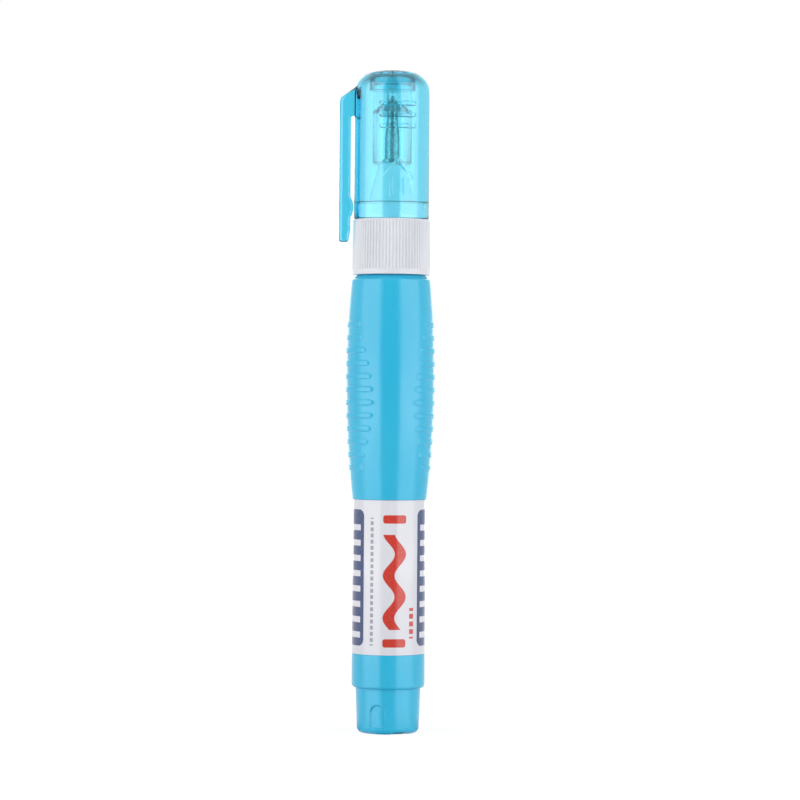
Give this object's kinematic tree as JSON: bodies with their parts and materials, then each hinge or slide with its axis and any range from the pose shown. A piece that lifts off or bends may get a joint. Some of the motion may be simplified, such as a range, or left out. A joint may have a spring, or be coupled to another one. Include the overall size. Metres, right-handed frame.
{
  "type": "correction pen",
  "caption": "Squeeze correction pen: ribbed-grip bottle with mixing ball, spring-loaded valve tip in a white nozzle, ribbed collar and a clear cap with pocket clip.",
  "frame": {"origin": "centre of the flat tail end, on which the pen stands", "axes": "+Z along the pen from the tail to the cap, -X towards the pocket clip, -Y towards the face with the cap's marks"},
  "size_m": [0.0201, 0.018, 0.1349],
  "materials": {
    "clear_blue_polystyrene": "transparent tint, polished mould",
    "blue_polypropylene": "satin, blow moulded",
    "white_polypropylene": "satin, injection moulded",
    "milky_polyethylene": "translucent",
    "white_acetal": "smooth",
    "printed_film": "glossy printed film",
    "nickel_plated_brass": "turned and nickel plated",
    "stainless_steel": "drawn and polished"
  },
  "bodies": {
    "body": {"bottle": "blue_polypropylene", "label": "printed_film", "neck_gasket": "milky_polyethylene", "collar": "white_polypropylene", "nozzle_holder": "white_polypropylene", "spring_seat": "white_acetal", "valve_spring": "stainless_steel", "valve_tip": "nickel_plated_brass"},
    "cap": {"cap_shell": "clear_blue_polystyrene", "inner_seal_cap": "milky_polyethylene"},
    "needle": {"valve_needle": "stainless_steel"},
    "ball": {"mixing_ball": "stainless_steel"}
  },
  "joints": [
    {"name": "cap_pull", "type": "slide", "parent": "body", "child": "cap", "axis": [0, 0, 1], "range_m": [0, 0.03]},
    {"name": "needle_press", "type": "slide", "parent": "body", "child": "needle", "axis": [0, 0, -1], "range_m": [0, 0.0006], "stiffness_N_per_m": 400, "springref_m": -0.001, "deforming": ["valve_spring"]},
    {"name": "ball_rattle", "type": "slide", "parent": "body", "child": "ball", "axis": [0, 0, 1], "range_m": [0, 0.095]}
  ]
}
